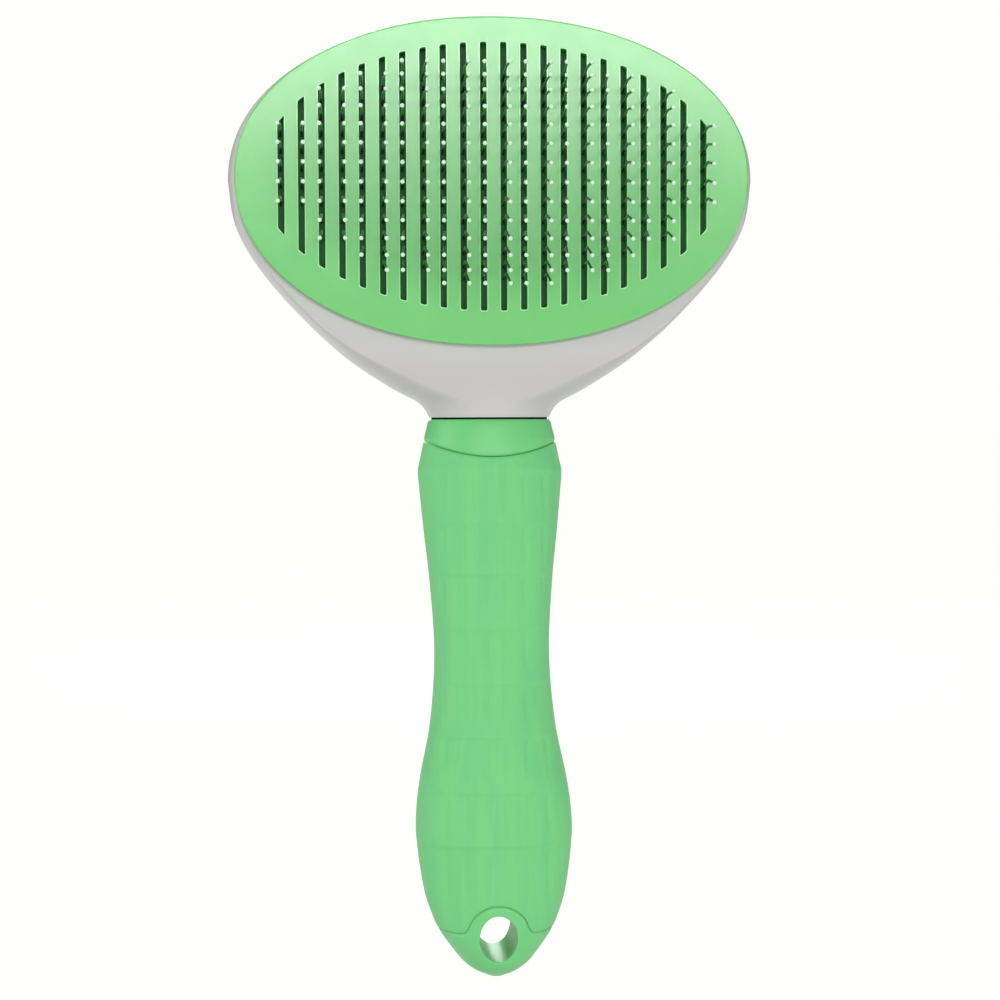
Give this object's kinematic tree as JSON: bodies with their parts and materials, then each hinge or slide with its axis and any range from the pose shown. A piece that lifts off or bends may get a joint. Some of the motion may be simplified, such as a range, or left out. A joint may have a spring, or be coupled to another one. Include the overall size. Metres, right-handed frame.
{
  "type": "slicker brush",
  "caption": "Self-cleaning slicker brush: oval head with bent wire pins through a slotted plate that a back button pushes forward, and a rubber-sleeved handle with a hanging hole.",
  "frame": {"origin": "bottom of the handle's end, in the middle of the width and of the depth from pin tips to button", "axes": "+Z from the handle's end to the top of the head, +X across the head, -Y is the way the pins point"},
  "size_m": [0.1046, 0.0414, 0.1909],
  "materials": {
    "green_gloss_plastic": "glossy moulded plastic",
    "green_satin_plastic": "satin moulded plastic",
    "green_rubber": "soft-touch rubber",
    "white_plastic": "glossy moulded plastic",
    "dark_green_plastic": "plain moulded plastic",
    "steel": "drawn wire, bright"
  },
  "bodies": {
    "root": {"rear_shell": "white_plastic", "handle_core": "green_satin_plastic", "grip_sleeve": "green_rubber", "pin_bed": "dark_green_plastic", "backing_plate": "dark_green_plastic", "pin_row_01": "steel", "pin_row_02": "steel", "pin_row_03": "steel", "pin_row_04": "steel", "pin_row_05": "steel", "pin_row_06": "steel", "pin_row_07": "steel", "pin_row_08": "steel", "pin_row_09": "steel", "pin_row_10": "steel", "pin_row_11": "steel", "pin_row_12": "steel", "pin_row_13": "steel", "pin_row_14": "steel", "pin_row_15": "steel", "pin_row_16": "steel", "pin_row_17": "steel", "pin_row_18": "steel", "pin_row_19": "steel", "pin_row_20": "steel", "pin_row_21": "steel", "pin_row_22": "steel", "bed_screw_1": "steel", "bed_screw_2": "steel", "bed_screw_3": "steel", "bed_screw_4": "steel", "return_spring_left": "steel", "return_spring_right": "steel"},
    "ejector": {"front_plate": "green_gloss_plastic", "pusher_frame": "dark_green_plastic", "push_button": "green_gloss_plastic", "post_screw_left": "steel", "post_screw_right": "steel", "button_screw_1": "steel", "button_screw_2": "steel"}
  },
  "joints": [
    {"name": "ejector_slide", "type": "slide", "parent": "root", "child": "ejector", "axis": [0, -1, 0], "range_m": [0, 0.008], "stiffness_N_per_m": 800, "springref_m": -0.004, "deforming": ["return_spring_left", "return_spring_right"]}
  ]
}
